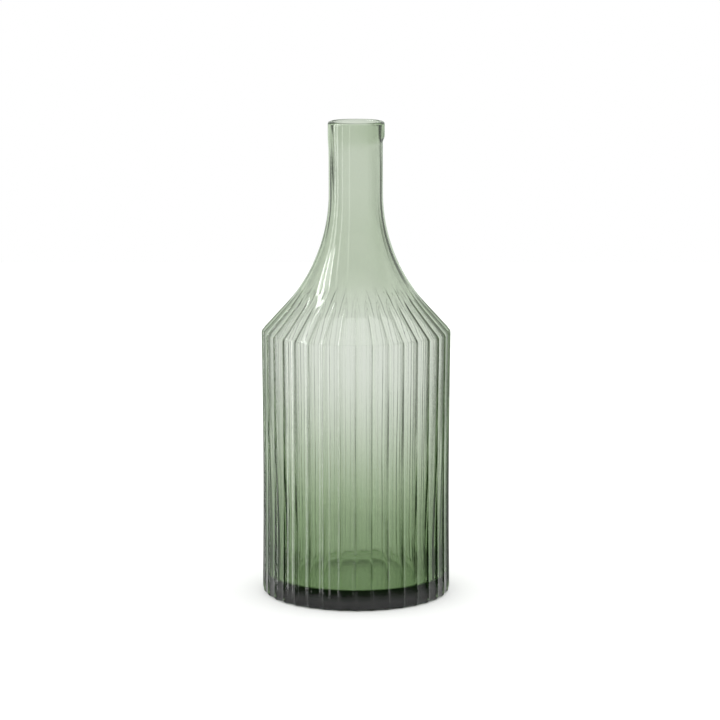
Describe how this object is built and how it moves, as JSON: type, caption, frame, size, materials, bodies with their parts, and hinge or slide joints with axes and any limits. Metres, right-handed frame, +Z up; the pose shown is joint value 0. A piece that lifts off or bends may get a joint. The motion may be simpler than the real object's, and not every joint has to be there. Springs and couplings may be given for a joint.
{
  "type": "glass bottle",
  "caption": "Tall green glass bottle with a ribbed straight body, a sloping ribbed shoulder, a smooth narrow neck and an open mouth.",
  "frame": {"origin": "centre of the base, on the plane the bottle stands on", "axes": "+Z up along the bottle's axis, out of the mouth; +X towards the thicker side of the lip"},
  "size_m": [0.12, 0.12, 0.302],
  "materials": {
    "green_glass": "clear glossy green-tinted blown glass"
  },
  "bodies": {
    "root": {"glass_bottle": "green_glass"}
  },
  "joints": []
}
